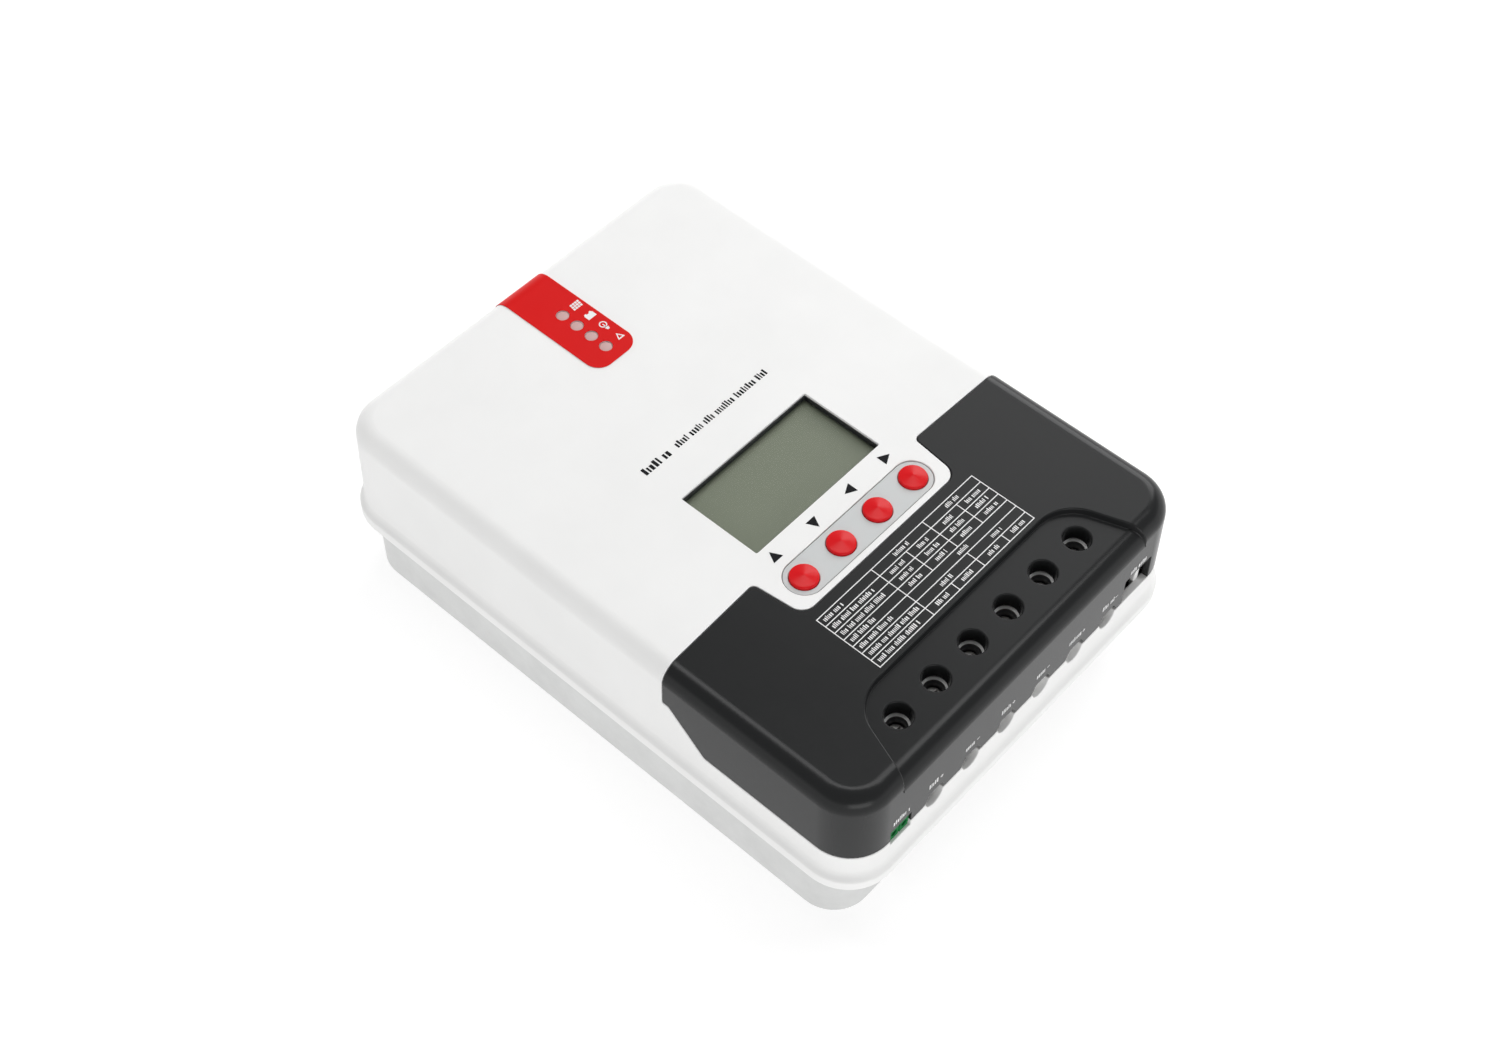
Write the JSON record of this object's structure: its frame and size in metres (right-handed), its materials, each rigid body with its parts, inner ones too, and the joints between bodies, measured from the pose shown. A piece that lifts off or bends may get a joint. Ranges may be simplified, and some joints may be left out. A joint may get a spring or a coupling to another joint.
{
  "type": "charge controller",
  "caption": "Wall-mounted solar charge controller: white housing with display, four keys and status lamps, black terminal cover and screw terminals, on a finned heat sink.",
  "frame": {"origin": "centre of the heat sink's back face, which rests on the wall or table", "axes": "+X to the reader's right along the terminal side, +Y away from the terminals (up on a wall), +Z out of the front face"},
  "size_m": [0.174, 0.237, 0.0741],
  "materials": {
    "cast_aluminium": "light grey die-cast, satin",
    "white_plastic": "satin moulded plastic with very fine grain",
    "black_plastic": "satin black moulded plastic with fine spark texture",
    "grey_plastic": "smooth grey moulded plastic",
    "block_plastic": "light grey glass-filled nylon",
    "red_button": "glossy red moulded plastic",
    "red_overlay": "printed red polyester film with white pictograms",
    "clear_window": "clear polycarbonate window",
    "lcd_glass": "greenish grey reflective display behind polariser",
    "circuit_board": "green solder mask on glass-fibre board",
    "green_plastic": "green moulded terminal plastic",
    "black_component": "black epoxy and moulded component bodies",
    "lamp_lens": "frosted translucent lamp lens",
    "screw_steel": "nickel-plated steel",
    "brass": "plated brass",
    "copper_winding": "enamelled copper wire on a ring core"
  },
  "bodies": {
    "case": {"heat_sink": "cast_aluminium", "mosfet_clamp": "cast_aluminium", "housing": "white_plastic", "terminal_cover": "black_plastic", "status_label": "red_overlay", "lcd_lens": "clear_window", "lcd_module": "lcd_glass", "display_board": "circuit_board", "main_board": "circuit_board", "keypad_plate": "grey_plastic", "ribbon_cable": "grey_plastic", "data_socket": "black_component", "capacitor_1": "black_component", "capacitor_2": "black_component", "mosfet_1": "black_component", "mosfet_2": "black_component", "mosfet_3": "black_component", "key_switch_1": "black_component", "key_switch_2": "black_component", "key_switch_3": "black_component", "key_switch_4": "black_component", "status_led_1": "lamp_lens", "status_led_2": "lamp_lens", "status_led_3": "lamp_lens", "status_led_4": "lamp_lens", "terminal_block": "block_plastic", "temp_socket": "green_plastic", "case_screw_1": "screw_steel", "case_screw_2": "screw_steel", "case_screw_3": "screw_steel", "case_screw_4": "screw_steel", "board_screw_1": "screw_steel", "board_screw_2": "screw_steel", "display_screw_1": "screw_steel", "display_screw_2": "screw_steel", "contact_bar_1": "brass", "contact_bar_2": "brass", "contact_bar_3": "brass", "contact_bar_4": "brass", "contact_bar_5": "brass", "contact_bar_6": "brass", "power_inductor_1": "copper_winding", "power_inductor_2": "copper_winding"},
    "key_up": {"button_up": "red_button"},
    "key_down": {"button_down": "red_button"},
    "key_left": {"button_left": "red_button"},
    "key_right": {"button_right": "red_button"},
    "screw_1": {"clamp_screw_1": "screw_steel"},
    "cage_1": {"clamp_cage_1": "brass"},
    "screw_2": {"clamp_screw_2": "screw_steel"},
    "cage_2": {"clamp_cage_2": "brass"},
    "screw_3": {"clamp_screw_3": "screw_steel"},
    "cage_3": {"clamp_cage_3": "brass"},
    "screw_4": {"clamp_screw_4": "screw_steel"},
    "cage_4": {"clamp_cage_4": "brass"},
    "screw_5": {"clamp_screw_5": "screw_steel"},
    "cage_5": {"clamp_cage_5": "brass"},
    "screw_6": {"clamp_screw_6": "screw_steel"},
    "cage_6": {"clamp_cage_6": "brass"}
  },
  "joints": [
    {"name": "key_up_press", "type": "slide", "parent": "case", "child": "key_up", "axis": [0, 0, -1], "range_m": [0, 0.0008], "stiffness_N_per_m": 1500},
    {"name": "key_down_press", "type": "slide", "parent": "case", "child": "key_down", "axis": [0, 0, -1], "range_m": [0, 0.0008], "stiffness_N_per_m": 1500},
    {"name": "key_left_press", "type": "slide", "parent": "case", "child": "key_left", "axis": [0, 0, -1], "range_m": [0, 0.0008], "stiffness_N_per_m": 1500},
    {"name": "key_right_press", "type": "slide", "parent": "case", "child": "key_right", "axis": [0, 0, -1], "range_m": [0, 0.0008], "stiffness_N_per_m": 1500},
    {"name": "screw_1_turn", "type": "hinge", "parent": "case", "child": "screw_1", "pos_m": [-0.046, -0.0985, 0.061], "axis": [0, 0, -1], "range_deg": [0, 1440]},
    {"name": "cage_1_rise", "type": "slide", "parent": "case", "child": "cage_1", "axis": [0, 0, 1], "range_m": [0, 0.0028]},
    {"name": "screw_2_turn", "type": "hinge", "parent": "case", "child": "screw_2", "pos_m": [-0.0276, -0.0985, 0.061], "axis": [0, 0, -1], "range_deg": [0, 1440]},
    {"name": "cage_2_rise", "type": "slide", "parent": "case", "child": "cage_2", "axis": [0, 0, 1], "range_m": [0, 0.0028]},
    {"name": "screw_3_turn", "type": "hinge", "parent": "case", "child": "screw_3", "pos_m": [-0.0092, -0.0985, 0.061], "axis": [0, 0, -1], "range_deg": [0, 1440]},
    {"name": "cage_3_rise", "type": "slide", "parent": "case", "child": "cage_3", "axis": [0, 0, 1], "range_m": [0, 0.0028]},
    {"name": "screw_4_turn", "type": "hinge", "parent": "case", "child": "screw_4", "pos_m": [0.0092, -0.0985, 0.061], "axis": [0, 0, -1], "range_deg": [0, 1440]},
    {"name": "cage_4_rise", "type": "slide", "parent": "case", "child": "cage_4", "axis": [0, 0, 1], "range_m": [0, 0.0028]},
    {"name": "screw_5_turn", "type": "hinge", "parent": "case", "child": "screw_5", "pos_m": [0.0276, -0.0985, 0.061], "axis": [0, 0, -1], "range_deg": [0, 1440]},
    {"name": "cage_5_rise", "type": "slide", "parent": "case", "child": "cage_5", "axis": [0, 0, 1], "range_m": [0, 0.0028]},
    {"name": "screw_6_turn", "type": "hinge", "parent": "case", "child": "screw_6", "pos_m": [0.046, -0.0985, 0.061], "axis": [0, 0, -1], "range_deg": [0, 1440]},
    {"name": "cage_6_rise", "type": "slide", "parent": "case", "child": "cage_6", "axis": [0, 0, 1], "range_m": [0, 0.0028]}
  ],
  "couplings": [
    {"joint": "screw_1_turn", "follows": "cage_1_rise", "rad_per_m": 8976},
    {"joint": "screw_2_turn", "follows": "cage_2_rise", "rad_per_m": 8976},
    {"joint": "screw_3_turn", "follows": "cage_3_rise", "rad_per_m": 8976},
    {"joint": "screw_4_turn", "follows": "cage_4_rise", "rad_per_m": 8976},
    {"joint": "screw_5_turn", "follows": "cage_5_rise", "rad_per_m": 8976},
    {"joint": "screw_6_turn", "follows": "cage_6_rise", "rad_per_m": 8976}
  ]
}
